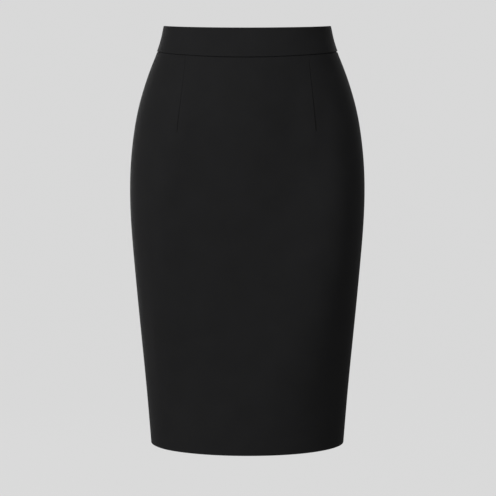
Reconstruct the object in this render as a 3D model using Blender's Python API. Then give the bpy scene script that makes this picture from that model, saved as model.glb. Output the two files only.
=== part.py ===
"""Knee-length pencil skirt with a contoured waistband, filled out as it is worn.

Lengths are metres.  +Z is up, +X the wearer's left and -Y the front.  The origin is
the middle of the waistband's ring, half-way down the band, where the wearer's waist
holds the skirt.  A height is given as a drop below the band's top at the side seam.

The cloth follows horizontal sections: a front half and a back half that meet at the
side seams, each a superellipse.  A place on a section is its distance from the
centre line, measured round the cloth, so the panels keep their cut.
"""

import math
from collections import namedtuple

import bmesh
import bpy
import numpy as np
from mathutils import Matrix

# ---- Driving dimensions ----------------------------------------------------------

TOTAL_LENGTH = 0.620  # band top to hem at the side seam
BAND_HEIGHT = 0.040  # finished height of the waistband
ORIGIN_DROP = BAND_HEIGHT / 2

PANEL_WALL = 0.0015
BAND_WALL = 0.0030  # two layers and interfacing
BAND_PROUD = 0.0003  # the band's face stands this far out from the panels'
SEAM_GAP = 0.0003
ROLL = 0.0012  # width over which a sewn edge turns in
ROLL_DEPTH = 0.0005
HEM_ROLL_DEPTH = 0.0004
TOP_FOLD = 0.0026  # height of the round fold along the band's top

SEAM_DROP = 0.038  # waist seam at the side
HEM_DROP = TOTAL_LENGTH

HEM_TURN_UP = 0.035  # the hem is folded up inside over this height
HEM_FOLD = 0.0007  # and thickens the wall by this much
HEM_STEP = 0.0005

VENT_HEIGHT = 0.160
UNDERLAY_WIDTH = 0.035
UNDERLAY_SHORT = 0.0015  # the underlay stops this far above the hem
UNDERLAY_SLANT = 0.012  # its top edge falls by this much
UNDERLAY_RUN = 0.030  # the panel sinks towards the underlay over this width
VENT_RUN = 0.028  # and over this height above the vent

ZIP_END_DROP = 0.225
TAPE_WALL = 0.0010
TAPE_INSET = 0.0009
TAPE_WIDTH = 0.0120
TAPE_TAIL = 0.018
CHAIN_WALL = 0.0016
CHAIN_WIDTH = 0.0044

SLIDER_DROP = 0.0130
SLIDER_LENGTH = 0.0090
SLIDER_WIDTH = 0.0070
SLIDER_WALL = 0.0032
NECK_WIDTH = 0.0012
NECK_HEIGHT = 0.0030
RING_HOLE = 0.00105  # radius of the eye that the pull hangs in
RING_RADIUS = 0.00205
RING_CLEAR = 0.00035  # between the ring and the cloth

PULL_LENGTH = 0.022
PULL_WALL = 0.0010
PULL_BAR = 0.0011
PULL_EYE_WIDTH = 0.0021
PULL_EYE_DEPTH = 0.0026  # axis to the far end of the eye
PULL_NECK_WIDTH = 0.0043
PULL_WIDTH = 0.0064

FRONT, BACK = -1, 1
LEFT, RIGHT = 1, -1  # the wearer's

# ---- Tables ----------------------------------------------------------------------

# A horizontal section: half its width, the depth of its front and back halves from
# the side seams, and each half's exponent (2 is an ellipse, more is squarer).
Section = namedtuple("Section", "drop half_width front back front_square back_square")
SECTIONS = [
    Section(0.000, 0.1225, 0.0920, 0.0940, 2.10, 2.05),
    Section(0.020, 0.1268, 0.0946, 0.0980, 2.12, 2.07),
    Section(0.038, 0.1326, 0.0978, 0.1022, 2.15, 2.10),
    Section(0.060, 0.1414, 0.1018, 0.1076, 2.06, 2.12),
    Section(0.090, 0.1520, 0.1064, 0.1142, 2.12, 2.15),
    Section(0.125, 0.1616, 0.1106, 0.1202, 2.25, 2.18),
    Section(0.165, 0.1685, 0.1140, 0.1247, 2.38, 2.20),
    Section(0.205, 0.1724, 0.1160, 0.1271, 2.48, 2.20),
    Section(0.240, 0.1735, 0.1170, 0.1276, 2.53, 2.20),
    Section(0.280, 0.1726, 0.1173, 0.1268, 2.56, 2.20),
    Section(0.340, 0.1684, 0.1171, 0.1244, 2.51, 2.18),
    Section(0.440, 0.1596, 0.1164, 0.1198, 2.28, 2.14),
    Section(0.540, 0.1504, 0.1156, 0.1160, 1.98, 2.10),
    Section(0.620, 0.1440, 0.1150, 0.1130, 2.02, 2.05),
]

# How far a ring's centre front or centre back lies below its side seams.
Dip = namedtuple("Dip", "top seam")
DIPS = {FRONT: Dip(0.0022, 0.0062), BACK: Dip(0.0060, 0.0060)}

# A dart starts at the waist seam and ends at its tip, at these distances from the
# centre line.
Dart = namedtuple("Dart", "across_top across_tip length groove bulk")
DARTS = {
    FRONT: Dart(0.0923, 0.1018, 0.106, 0.0008, 0.0012),
    BACK: Dart(0.0820, 0.0870, 0.122, 0.0008, 0.0012),
}
RIGHT_TIP_IN = {FRONT: 0.0025, BACK: 0.0}  # the right dart's tip is this much nearer
DART_EDGE = 0.0018  # half the groove's width
DART_FADE = 0.006  # the groove runs out over this length past the tip

# The largest soft forms of the cloth: where each is centred, how far it spreads, and
# how far it stands out (below zero, sinks in).
Form = namedtuple("Form", "face across drop spread_across spread_down height")
FORMS = [
    Form(FRONT, -0.087, 0.200, 0.025, 0.022, -0.0009),
    Form(FRONT, 0.097, 0.207, 0.026, 0.028, -0.0038),
    Form(FRONT, -0.130, 0.270, 0.028, 0.142, 0.0064),
    Form(FRONT, 0.134, 0.285, 0.043, 0.108, 0.0065),
    Form(FRONT, -0.002, 0.109, 0.057, 0.075, 0.0036),
    Form(FRONT, 0.060, 0.206, 0.041, 0.115, -0.0060),
    Form(FRONT, 0.100, 0.406, 0.041, 0.121, 0.0070),
    Form(FRONT, -0.107, 0.174, 0.027, 0.058, 0.0044),
    Form(FRONT, 0.113, 0.155, 0.015, 0.054, -0.0018),
    Form(FRONT, 0.120, 0.286, 0.027, 0.092, 0.0029),
    Form(FRONT, 0.141, 0.310, 0.021, 0.084, 0.0016),
    Form(FRONT, 0.059, 0.520, 0.044, 0.075, 0.0031),
    Form(FRONT, -0.127, 0.461, 0.025, 0.113, 0.0052),
    Form(FRONT, -0.098, 0.163, 0.020, 0.053, 0.0031),
    Form(FRONT, 0.070, 0.117, 0.022, 0.055, -0.0019),
    Form(FRONT, -0.004, 0.408, 0.046, 0.108, -0.0042),
    Form(BACK, -0.086, 0.200, 0.028, 0.040, 0.0010),
    Form(BACK, 0.086, 0.200, 0.028, 0.040, 0.0010),
    Form(BACK, 0.000, 0.250, 0.024, 0.090, -0.0012),
]

# ---- Mesh spacing ----------------------------------------------------------------

COLUMNS_TO_DART = 8
COLUMNS_PAST_DART = 9
DART_ROWS = 9
MIDDLE_ROWS = 12
VENT_ROWS = 5
TRIM_ROWS = 10
ARC_SAMPLES = 65

# ---- Materials -------------------------------------------------------------------

Finish = namedtuple("Finish", "colour roughness metallic")
FINISHES = {
    "skirt_cloth": Finish((0.0130, 0.0130, 0.0135), 0.85, 0.0),
    "zip_tape": Finish((0.0110, 0.0110, 0.0115), 0.90, 0.0),
    "zip_metal": Finish((0.0200, 0.0200, 0.0210), 0.35, 0.8),
}


# ---- The skirt's surface ---------------------------------------------------------


def natural_spline(stations, values):
    """The natural cubic spline through the values, as a function of an array."""
    stations, values = np.array(stations), np.array(values)
    last = len(stations) - 1
    step = np.diff(stations)
    slope = np.diff(values) / step
    system, bends = np.eye(last + 1), np.zeros(last + 1)
    for i in range(1, last):
        system[i, i - 1 : i + 2] = step[i - 1], 2 * (step[i - 1] + step[i]), step[i]
        bends[i] = 6 * (slope[i] - slope[i - 1])
    second = np.linalg.solve(system, bends)

    def read(at):
        span = np.clip(np.searchsorted(stations, at) - 1, 0, last - 1)
        t, h = at - stations[span], step[span]
        a, b = second[span], second[span + 1]
        start = slope[span] - h * (2 * a + b) / 6
        return values[span] + t * (start + t * (a / 2 + t * (b - a) / (6 * h)))

    return read


SECTION_DROPS = [section.drop for section in SECTIONS]
READ = {
    column: natural_spline(SECTION_DROPS, [getattr(s, column) for s in SECTIONS])
    for column in Section._fields[1:]
}


def smooth_step(start, end, at):
    """0 before start and 1 after end, with a smooth rise between them."""
    t = np.clip((at - start) / (end - start), 0, 1)
    return t * t * (3 - 2 * t)


def quarter(face, drop):
    """Half width, depth and exponent of a quarter section, and its samples: the
    angle at each and the distance round the cloth from the centre line to it."""
    half_width = READ["half_width"](drop)[..., None]
    depth = READ["front" if face == FRONT else "back"](drop)[..., None]
    square = READ["front_square" if face == FRONT else "back_square"](drop)[..., None]
    angle = np.linspace(0, math.pi / 2, ARC_SAMPLES)
    x = half_width * np.sin(angle) ** (2 / square)
    y = depth * np.cos(angle) ** (2 / square)
    steps = np.hypot(np.diff(x), np.diff(y))
    run = np.concatenate([np.zeros_like(half_width), np.cumsum(steps, -1)], -1)
    return half_width[..., 0], depth[..., 0], square[..., 0], angle, run


def half_round(face, drop):
    """The distance round the cloth from the centre line to the side seam."""
    return quarter(face, drop)[4][..., -1]


def dart_line(face, side, drop):
    """Distance from the centre line to the dart's line, which runs on to the hem."""
    dart = DARTS[face]
    down = np.clip((drop - SEAM_DROP) / dart.length, 0, 1)
    across_tip = dart.across_tip - np.where(side == RIGHT, RIGHT_TIP_IN[face], 0)
    return dart.across_top + (across_tip - dart.across_top) * down


def relief(face, across, drop):
    """How far the cloth's soft forms stand out."""
    height = np.zeros_like(drop)
    for form in [form for form in FORMS if form.face == face]:
        level = ((drop - form.drop) / form.spread_down) ** 2
        aside = ((across - form.across) / form.spread_across) ** 2
        height += form.height * np.exp(-(aside + level))
    return height


def cloth_points(face, across, drop, depth):
    """Points at these signed distances from the centre line, drops and depths under
    the cloth's outer surface."""
    across, drop = np.broadcast_arrays(across, drop)
    half_width, section_depth, square, angle, run = quarter(face, drop)
    reach = np.abs(across)
    after = np.clip((run < reach[..., None]).sum(-1), 1, ARC_SAMPLES - 1)
    run_end = np.take_along_axis(run, after[..., None], -1)[..., 0]
    run_start = np.take_along_axis(run, after[..., None] - 1, -1)[..., 0]
    share = (reach - run_start) / (run_end - run_start)
    turn = angle[after - 1] + share * (angle[after] - angle[after - 1])
    turn = np.minimum(turn, math.pi / 2)
    sine, cosine = np.sin(turn) ** (2 / square), np.cos(turn) ** (2 / square)
    side = np.where(across < 0, -1.0, 1.0)
    normal_x = side * sine ** (square - 1) / half_width
    normal_y = face * cosine ** (square - 1) / section_depth
    size = np.hypot(normal_x, normal_y)
    out = relief(face, across, drop) - depth
    x = side * half_width * sine + out * normal_x / size
    y = face * section_depth * cosine + out * normal_y / size
    return np.stack([x, y, ORIGIN_DROP - drop], -1)


def tilt(face, across):
    """1 at the centre line and 0 at the side seam, as a level ring seen askew."""
    drop = np.full_like(across, SEAM_DROP)
    y = cloth_points(face, across, drop, 0.0)[..., 1]
    return (y / READ["front" if face == FRONT else "back"](drop)) ** 2


# ---- Grids of cloth --------------------------------------------------------------

# A column's place round a panel: base runs from 0 at the centre line through 1 at the
# dart to 2 at the side seam, and offset is metres from there, away from the centre.
Column = namedtuple("Column", "base offset")
CENTRE, DART, SIDE = 0.0, 1.0, 2.0


def spread(start, end, count):
    """Columns evenly between two bases, without the two ends."""
    return [Column(start + (end - start) * i / count, 0.0) for i in range(1, count)]


def half_columns(with_dart):
    """Columns from the centre line to the side seam, without the centre's own."""
    edge = SEAM_GAP / 2
    at_dart = [Column(DART, 0.0)]
    if with_dart:
        at_dart = [Column(DART, offset) for offset in (-DART_EDGE, 0.0, DART_EDGE)]
    return (
        spread(CENTRE, DART, COLUMNS_TO_DART)
        + at_dart
        + spread(DART, SIDE, COLUMNS_PAST_DART)
        + [Column(SIDE, -edge - ROLL), Column(SIDE, -edge)]
    )


def across_of(face, columns, side, drop):
    """Signed distance from the centre line of each column at each drop."""
    base = np.array([column.base for column in columns])
    offset = np.array([column.offset for column in columns])
    to_dart, to_side = dart_line(face, side, drop), half_round(face, drop)
    inside = np.minimum(base, DART) * to_dart
    outside = np.maximum(base - DART, 0) * (to_side - to_dart)
    return side * (inside + outside + offset)


def seam_drop(face, across):
    return SEAM_DROP + DIPS[face].seam * tilt(face, across)


def top_drop(face, across):
    return DIPS[face].top * tilt(face, across)


def wall(name, outer, inner, held, finish):
    """A closed wall between two grids of points.  held says which cells hold cloth."""
    mesh = bmesh.new()
    made = {}

    def vertex(layer, row, column):
        key = (layer, row, column)
        if key not in made:
            made[key] = mesh.verts.new((outer, inner)[layer][row, column])
        return made[key]

    def is_held(row, column):
        rows, columns = held.shape
        return 0 <= row < rows and 0 <= column < columns and held[row, column]

    for row, column in zip(*np.nonzero(held)):
        corners = [(row, column), (row + 1, column)]
        corners += [(row + 1, column + 1), (row, column + 1)]
        mesh.faces.new([vertex(0, *corner) for corner in corners])
        mesh.faces.new([vertex(1, *corner) for corner in reversed(corners)])
        beyond = [(row, column - 1), (row + 1, column)]
        beyond += [(row, column + 1), (row - 1, column)]
        for i, neighbour in enumerate(beyond):
            if not is_held(*neighbour):
                start, end = corners[i], corners[(i + 1) % 4]
                ends = [vertex(0, *end), vertex(0, *start)]
                mesh.faces.new(ends + [vertex(1, *start), vertex(1, *end)])
    mesh.normal_update()
    bmesh.ops.recalc_face_normals(mesh, faces=mesh.faces)
    return new_object(name, mesh, finish)


def new_object(name, mesh, finish, smooth=True):
    data = bpy.data.meshes.new(name)
    mesh.to_mesh(data)
    mesh.free()
    if smooth:
        data.shade_smooth()
        data.set_sharp_from_angle(angle=math.radians(40))
    data.materials.append(MATERIALS[finish])
    obj = bpy.data.objects.new(name, data)
    bpy.context.scene.collection.objects.link(obj)
    return obj


# ---- Panels ----------------------------------------------------------------------


PANEL_FALL = HEM_DROP - SEAM_DROP
VENT_FALL = PANEL_FALL - VENT_HEIGHT
TURN_UP_FALL = PANEL_FALL - HEM_TURN_UP


def panel_falls():
    """How far each row of a panel lies below the waist seam, measured at the side."""
    edge = SEAM_GAP / 2
    tip = DARTS[FRONT].length
    upper = np.linspace(0, tip, DART_ROWS + 1)[1:]
    middle = np.linspace(tip + DART_FADE, VENT_FALL, MIDDLE_ROWS + 1)
    lower = np.linspace(VENT_FALL, TURN_UP_FALL, VENT_ROWS + 1)[1:]
    hem = [TURN_UP_FALL + HEM_STEP, PANEL_FALL - ROLL, PANEL_FALL]
    return np.array([edge, edge + ROLL, *upper, *middle, *lower, *hem])


def panel_drop(face, columns, sides, falls):
    """The drop of each row and column: rows follow the waist seam and level out."""
    level = np.full((1, 1), SEAM_DROP)
    seam = seam_drop(face, across_of(face, columns, sides, level))
    return seam + falls[:, None] / PANEL_FALL * (HEM_DROP - seam)


def dart_shape(face, columns, drop):
    """1 on the dart's line down to its tip, and 0 elsewhere."""
    on_line = np.array([c.base == DART and c.offset == 0 for c in columns])
    tip = SEAM_DROP + DIPS[face].seam / 2 + DARTS[face].length
    return on_line * (1 - smooth_step(tip, tip + DART_FADE, drop))


def turned_in(columns, falls, sewn):
    """How far the outer face turns in at the waist seam, the hem and the sewn edges.
    sewn gives 1 or 0 for each row of the edge at each base."""
    depth = np.zeros((len(falls), len(columns)))
    depth[0], depth[-1] = ROLL_DEPTH, HEM_ROLL_DEPTH
    for j, column in enumerate(columns):
        if abs(column.offset) == SEAM_GAP / 2:
            edge_depth = ROLL_DEPTH * sewn[column.base]
            depth[:, j] = np.maximum(depth[:, j], edge_depth)
    return depth


def panel(name, face, columns, sides, drop, sewn, sunk, held):
    """A panel between its outer face and its inner face, with darts and a hem."""
    falls = panel_falls()
    across = across_of(face, columns, sides, drop)
    dart = dart_shape(face, columns, drop)
    outside = np.maximum(DARTS[face].groove * dart, turned_in(columns, falls, sewn))
    fold = HEM_FOLD * (falls > TURN_UP_FALL + HEM_STEP / 2)[:, None]
    inside = PANEL_WALL + DARTS[face].bulk * dart + fold
    outer = cloth_points(face, across, drop, outside + sunk)
    inner = cloth_points(face, across, drop, inside + sunk)
    wall(name, outer, inner, held, "skirt_cloth")


def all_cells(falls, columns):
    return np.ones((len(falls) - 1, len(columns) - 1), bool)


def front_panel():
    half = half_columns(with_dart=True)
    falls = panel_falls()
    columns = half[::-1] + [Column(CENTRE, 0.0)] + half
    sides = np.array([RIGHT] * len(half) + [LEFT] * (len(half) + 1))
    drop = panel_drop(FRONT, columns, sides, falls)
    held = all_cells(falls, columns)
    panel("front", FRONT, columns, sides, drop, {SIDE: 1}, 0.0, held)


def back_columns():
    edge = SEAM_GAP / 2
    at_centre = [Column(CENTRE, edge), Column(CENTRE, edge + ROLL)]
    return at_centre + half_columns(with_dart=True)


def back_left_panel():
    """The panel whose vent edge lies on top."""
    falls, columns = panel_falls(), back_columns()
    drop = panel_drop(BACK, columns, LEFT, falls)
    held = all_cells(falls, columns)
    panel("back_left", BACK, columns, LEFT, drop, {SIDE: 1, CENTRE: 1}, 0.0, held)


def back_right_panel():
    """The panel whose underlay runs on behind the other below the vent's top."""
    falls = panel_falls()
    widths = [UNDERLAY_WIDTH * share for share in (1, 2 / 3, 1 / 3)]
    columns = [Column(CENTRE, -width) for width in widths] + back_columns()
    vent_row = int(np.argmin(np.abs(falls - VENT_FALL)))
    drop = panel_drop(BACK, columns, RIGHT, falls)
    for j, width in enumerate(widths):
        drop[vent_row, j] += UNDERLAY_SLANT * width / UNDERLAY_WIDTH
        drop[-2:, j] -= UNDERLAY_SHORT
    held = all_cells(falls, columns)
    held[:vent_row, : len(widths)] = False
    own = RIGHT * across_of(BACK, columns, RIGHT, drop)
    near = 1 - smooth_step(ROLL, UNDERLAY_RUN, own)
    low = smooth_step(HEM_DROP - VENT_HEIGHT - VENT_RUN, HEM_DROP - VENT_HEIGHT, drop)
    sunk = (PANEL_WALL + HEM_FOLD + SEAM_GAP) * near * low
    sewn = {SIDE: 1, CENTRE: np.arange(len(falls)) < vent_row}
    panel("back_right", BACK, columns, RIGHT, drop, sewn, sunk, held)


# ---- Waistband -------------------------------------------------------------------

# The band's round top fold: a row's height as a share of the fold's, and how far both
# faces turn in there as a share of the band's thickness.
FoldRow = namedtuple("FoldRow", "height turn")
TOP_FOLD_ROWS = [FoldRow(0.0, 0.36), FoldRow(0.12, 0.20), FoldRow(0.45, 0.06), FoldRow(1.0, 0.0)]
BAND_MIDDLE_ROWS = 3


def band_end(drop):
    """Half the gap between the band's two ends, parted at the slider's neck."""
    neck = NECK_WIDTH / 2 + SEAM_GAP
    closed = smooth_step(SLIDER_DROP + SLIDER_LENGTH / 2, SEAM_DROP, drop)
    return neck + (SEAM_GAP / 2 - neck) * closed


def band_piece(name, face, columns, sides):
    """One piece of the waistband, from its round top fold to the waist seam."""
    level = np.full((1, 1), SEAM_DROP)
    at_seam = across_of(face, columns, sides, level)
    top = top_drop(face, at_seam)
    low = seam_drop(face, at_seam) - SEAM_GAP / 2
    shares = np.linspace(0, 1, BAND_MIDDLE_ROWS + 2)[1:, None]
    fold = top + TOP_FOLD * np.array([[row.height] for row in TOP_FOLD_ROWS])
    middle = top + TOP_FOLD + shares * (low - ROLL - top - TOP_FOLD)
    drop = np.concatenate([fold, middle, low])
    turn = np.zeros((len(drop), 1))
    turn[: len(fold), 0] = [BAND_WALL * row.turn for row in TOP_FOLD_ROWS]
    edges = np.array([abs(c.offset) == SEAM_GAP / 2 for c in columns])
    parted = np.array([c.base == CENTRE and c.offset > 0 for c in columns])
    across = across_of(face, columns, sides, drop)
    across = across + sides * parted * (band_end(drop) - SEAM_GAP / 2)
    outside = np.maximum(turn, ROLL_DEPTH * edges)
    outside[-1] = ROLL_DEPTH
    inside = BAND_WALL - turn + 0 * outside
    outer = cloth_points(face, across, drop, outside - BAND_PROUD)
    inner = cloth_points(face, across, drop, inside - BAND_PROUD)
    wall(name, outer, inner, all_cells(drop, columns), "skirt_cloth")


def waistband():
    half = half_columns(with_dart=False)
    columns = half[::-1] + [Column(CENTRE, 0.0)] + half
    sides = np.array([RIGHT] * len(half) + [LEFT] * (len(half) + 1))
    band_piece("waistband_front", FRONT, columns, sides)
    edge = SEAM_GAP / 2
    to_side = [Column(CENTRE, edge), Column(CENTRE, edge + ROLL)] + half
    band_piece("waistband_back_left", BACK, to_side, LEFT)
    band_piece("waistband_back_right", BACK, to_side, RIGHT)


# ---- Zip -------------------------------------------------------------------------

CHAIN_DEPTH = PANEL_WALL + SEAM_GAP + TAPE_WALL + SEAM_GAP


def strip(name, across, drops, depth, thickness, finish):
    """A strip that lies on the inside of the back, at one depth."""
    across, drop = np.array(across)[None, :], np.array(drops)[:, None]
    outer = cloth_points(BACK, across, drop, depth)
    inner = cloth_points(BACK, across, drop, depth + thickness)
    held = np.ones((len(drops) - 1, across.size - 1), bool)
    wall(name, outer, inner, held, finish)


def zip_tapes_and_chain():
    seam = SEAM_DROP + DIPS[BACK].seam
    tape_drops = np.linspace(seam + SEAM_GAP, ZIP_END_DROP + TAPE_TAIL, TRIM_ROWS + 1)
    for name, side in (("zip_tape_left", LEFT), ("zip_tape_right", RIGHT)):
        across = [side * (TAPE_INSET + TAPE_WIDTH * share) for share in (0, 0.5, 1)]
        depth = PANEL_WALL + SEAM_GAP
        strip(name, across, tape_drops, depth, TAPE_WALL, "zip_tape")
    slant = (CHAIN_DEPTH + CHAIN_WALL) * math.sin(back_slope())
    chain_top = SLIDER_DROP + SLIDER_LENGTH / 2 + slant + SEAM_GAP
    chain_drops = np.linspace(chain_top, ZIP_END_DROP, TRIM_ROWS + 3)
    across = [-CHAIN_WIDTH / 2, 0.0, CHAIN_WIDTH / 2]
    strip("zip_chain", across, chain_drops, CHAIN_DEPTH, CHAIN_WALL, "zip_tape")


def back_slope():
    """How far the centre back leans from upright at the slider."""
    above, below = SLIDER_DROP, SLIDER_DROP + PULL_LENGTH
    out = READ["back"](np.array([above, below]))
    return math.atan2(out[1] - out[0], below - above)


def block(size, centre):
    """A box of this size as a bmesh."""
    mesh = bmesh.new()
    bmesh.ops.create_cube(mesh, size=1.0)
    bmesh.ops.scale(mesh, vec=size, verts=mesh.verts)
    bmesh.ops.translate(mesh, vec=centre, verts=mesh.verts)
    return mesh


def rounded(mesh, width):
    bmesh.ops.bevel(
        mesh, geom=mesh.edges, offset=width, segments=2, profile=0.5, affect="EDGES"
    )
    return mesh


def rod(radius, length, corners):
    """A rod along X as a bmesh."""
    mesh = bmesh.new()
    bmesh.ops.create_cone(
        mesh,
        cap_ends=True,
        segments=corners,
        radius1=radius,
        radius2=radius,
        depth=length,
        matrix=Matrix.Rotation(math.pi / 2, 4, "Y"),
    )
    return mesh


def boolean(obj, operation, other):
    """Joins or cuts obj with other, which stays in the file as a hidden helper."""
    modifier = obj.modifiers.new(operation.title(), "BOOLEAN")
    modifier.operation = operation
    modifier.object = other
    modifier.solver = "EXACT"
    other.parent = obj
    other.hide_render = True
    other.display_type = "WIRE"


def slider_head():
    """An empty on the pull's axis, square to the cloth at the centre back."""
    slope = back_slope()
    out = BAND_PROUD + RING_CLEAR + RING_RADIUS
    face = READ["back"](np.array([SLIDER_DROP]))[0]
    head = bpy.data.objects.new("slider_head", None)
    bpy.context.scene.collection.objects.link(head)
    head.location = (
        0.0,
        face + out * math.cos(slope),
        ORIGIN_DROP - SLIDER_DROP + out * math.sin(slope),
    )
    head.rotation_euler = (slope, 0.0, 0.0)
    return head, out


def zip_slider(head, out):
    """The slider's body lies inside the band, and its neck carries the eye outside."""
    body_face = -out - CHAIN_DEPTH + SEAM_GAP / 2
    body = block(
        (SLIDER_WIDTH, SLIDER_WALL, SLIDER_LENGTH), (0.0, body_face - SLIDER_WALL / 2, 0.0)
    )
    slider = new_object("zip_slider", rounded(body, 0.0007), "zip_metal", smooth=False)
    slider.parent = head
    neck_run = -body_face - RING_HOLE - (RING_RADIUS - RING_HOLE) / 2 + SLIDER_WALL / 2
    neck_centre = (0.0, body_face - SLIDER_WALL / 2 + neck_run / 2, 0.0)
    neck = block((NECK_WIDTH, neck_run, NECK_HEIGHT), neck_centre)
    boolean(slider, "UNION", new_object("slider_neck", neck, "zip_metal", smooth=False))
    ring = rod(RING_RADIUS, NECK_WIDTH * 0.98, 24)
    boolean(slider, "UNION", new_object("slider_ring", ring, "zip_metal", smooth=False))
    eye = rod(RING_HOLE, NECK_WIDTH * 3, 20)
    boolean(slider, "DIFFERENCE", new_object("slider_eye", eye, "zip_metal", smooth=False))


def pull_outline():
    """Half the pull's outline, as half width and height below its axis: a narrow eye
    end that widens to a round tip."""
    radius = PULL_WIDTH / 2
    swell_end = PULL_LENGTH - radius
    points = [(PULL_NECK_WIDTH / 2, -PULL_BAR / 2)]
    for down in np.linspace(PULL_EYE_DEPTH, swell_end, 7):
        swell = smooth_step(PULL_EYE_DEPTH, swell_end, down)
        half = (PULL_NECK_WIDTH + (PULL_WIDTH - PULL_NECK_WIDTH) * swell) / 2
        points.append((half, down))
    for turn in np.linspace(0, math.pi / 2, 7)[1:-1]:
        points.append((radius * math.cos(turn), swell_end + radius * math.sin(turn)))
    return points


def zip_pull(head):
    """The pull: a flat drop whose eye bar turns in the slider's ring."""
    half = pull_outline()
    outline = [(x, -down) for x, down in half] + [(0.0, -PULL_LENGTH)]
    outline += [(-x, -down) for x, down in reversed(half)]
    mesh = bmesh.new()
    rim = [mesh.verts.new((x, -PULL_WALL / 2, z)) for x, z in outline]
    face = mesh.faces.new(rim)
    made = bmesh.ops.extrude_face_region(mesh, geom=[face])["geom"]
    moved = [item for item in made if isinstance(item, bmesh.types.BMVert)]
    bmesh.ops.translate(mesh, vec=(0.0, PULL_WALL, 0.0), verts=moved)
    mesh.normal_update()
    bmesh.ops.recalc_face_normals(mesh, faces=mesh.faces)
    pull = new_object("zip_pull", mesh, "zip_metal", smooth=False)
    pull.parent = head
    lean = (RING_RADIUS + RING_CLEAR - PULL_WALL / 2 - SEAM_GAP) / PULL_LENGTH
    pull.rotation_euler = (-math.asin(lean), 0.0, 0.0)
    eye_height = PULL_EYE_DEPTH - PULL_BAR / 2
    eye_centre = (0.0, 0.0, -PULL_BAR / 2 - eye_height / 2)
    eye = block((PULL_EYE_WIDTH, PULL_WALL * 3, eye_height), eye_centre)
    boolean(pull, "DIFFERENCE", new_object("pull_eye", eye, "zip_metal", smooth=False))


# ---- Build -----------------------------------------------------------------------


def clear_scene():
    for obj in list(bpy.data.objects):
        bpy.data.objects.remove(obj)


def make_materials():
    made = {}
    for name, finish in FINISHES.items():
        material = bpy.data.materials.new(name)
        material.use_nodes = True
        shader = material.node_tree.nodes["Principled BSDF"]
        shader.inputs["Base Color"].default_value = (*finish.colour, 1.0)
        shader.inputs["Roughness"].default_value = finish.roughness
        shader.inputs["Metallic"].default_value = finish.metallic
        made[name] = material
    return made


clear_scene()
MATERIALS = make_materials()
front_panel()
back_left_panel()
back_right_panel()
waistband()
zip_tapes_and_chain()
HEAD, RING_OUT = slider_head()
zip_slider(HEAD, RING_OUT)
zip_pull(HEAD)
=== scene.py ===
"""The looks of the pencil skirt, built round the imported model.

Lengths are metres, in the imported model's frame: +Z up, +X the wearer's left, -Y the
front, and the origin in the middle of the waistband.  A height is a drop below the
band's top at the side seam.  The cloth follows the model's own sections, so that
every fine piece lies where the solid that it replaces does.
"""

import math
from collections import namedtuple

import bmesh
import bpy
import numpy as np
from mathutils import Matrix, Vector


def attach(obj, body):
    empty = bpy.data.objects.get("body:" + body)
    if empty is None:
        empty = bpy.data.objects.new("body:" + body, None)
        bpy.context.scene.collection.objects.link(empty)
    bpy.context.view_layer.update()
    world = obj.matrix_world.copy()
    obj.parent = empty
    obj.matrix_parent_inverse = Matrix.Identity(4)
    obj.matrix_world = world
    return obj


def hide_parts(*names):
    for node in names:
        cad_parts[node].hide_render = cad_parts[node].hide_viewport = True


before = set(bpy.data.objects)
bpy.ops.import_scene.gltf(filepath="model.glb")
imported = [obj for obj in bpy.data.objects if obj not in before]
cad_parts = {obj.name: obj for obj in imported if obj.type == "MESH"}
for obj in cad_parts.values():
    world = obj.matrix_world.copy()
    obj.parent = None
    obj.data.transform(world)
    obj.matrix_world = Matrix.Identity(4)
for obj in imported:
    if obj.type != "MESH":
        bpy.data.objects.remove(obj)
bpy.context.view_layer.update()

# ---- The model's dimensions ----

BAND_HEIGHT = 0.040
ORIGIN_DROP = BAND_HEIGHT / 2
SEAM_DROP = 0.038
HEM_DROP = 0.620
FALL = HEM_DROP - SEAM_DROP
VENT_HEIGHT = 0.160
VENT_DROP = HEM_DROP - VENT_HEIGHT
VENT_FALL = FALL - VENT_HEIGHT
UNDERLAY_WIDTH = 0.035
UNDERLAY_SHORT = 0.0015
UNDERLAY_SLANT = 0.012
UNDERLAY_RUN = 0.030
VENT_RUN = 0.028
HEM_TURN_UP = 0.035
TURN_UP_DROP = HEM_DROP - HEM_TURN_UP
ZIP_END_DROP = 0.225
TAPE_TAIL = 0.018
SLIDER_DROP = 0.0130
SLIDER_LENGTH = 0.0090
NECK_WIDTH = 0.0012

FRONT, BACK = -1, 1
LEFT, RIGHT = 1, -1  # the wearer's

# ---- The cloth's finer sizes ----

CLOTH = 0.0009  # thickness of one layer
LAYER = 0.0006  # what a pressed layer inside adds
ALLOWANCE = 0.015  # width of a seam allowance, pressed open
STEP_RUN = 0.0005  # an inner layer's edge falls over this width
HEM_ROLL = (CLOTH + LAYER) / 2
THINNEST = 0.00003
UNDERLAY_CLEAR = 0.0004  # between the vent's facing and the underlay
SEAM_HALF_GAP = 0.00004
SEAM_ROLL = 0.0007  # radius of a sewn edge that turns in
WAIST_HALF_GAP = 0.00026
WAIST_GAP_REACH = 0.20  # the band's half grows e-fold over this much cloth, leftwards
WAIST_ROLL = 0.0008
WAIST_DEPTH = 0.0015  # of the waist seam's crease
LAP = 0.0032  # the band's inner layer hangs this far below the waist seam
LAP_DEPTH = 0.0017
BAND_THICKNESS = 0.0028
BAND_RISE = {FRONT: 0.0007, BACK: 0.0004}  # the band's face stands out from the panels'
BAND_FOLD = 0.0012  # radius of the fold along the band's top
BAND_FACING_ROLL = 0.0003
BAND_SIDE_ROLL = 0.0005
NECK_CLEAR = 0.0003
END_REACH = 0.010  # the band's ends part for the slider over this width

# ---- Zip sizes ----

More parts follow.
